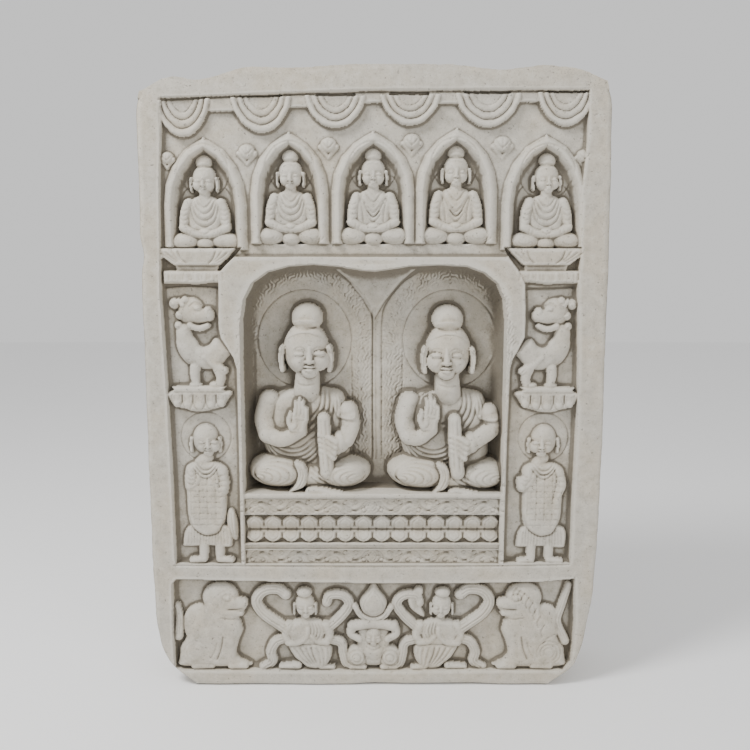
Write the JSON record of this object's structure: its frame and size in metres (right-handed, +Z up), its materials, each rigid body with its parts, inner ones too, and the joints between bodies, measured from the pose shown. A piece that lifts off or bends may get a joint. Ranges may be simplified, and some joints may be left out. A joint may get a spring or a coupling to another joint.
{
  "type": "stone relief panel",
  "caption": "Upright carved stone slab with seated figures in a central niche, small arched niches under a curtain above, side figures, and a frieze of lions and attendants below",
  "frame": {"origin": "centre of the bounding box at the underside, where the slab stands", "axes": "+Z up, -Y out of the carved face, +X to the viewer's right"},
  "size_m": [0.53, 0.112, 0.723],
  "materials": {
    "marble": "carved, matt and weathered, with dirt in the hollows"
  },
  "bodies": {
    "root": {"relief_panel": "marble"}
  },
  "joints": []
}
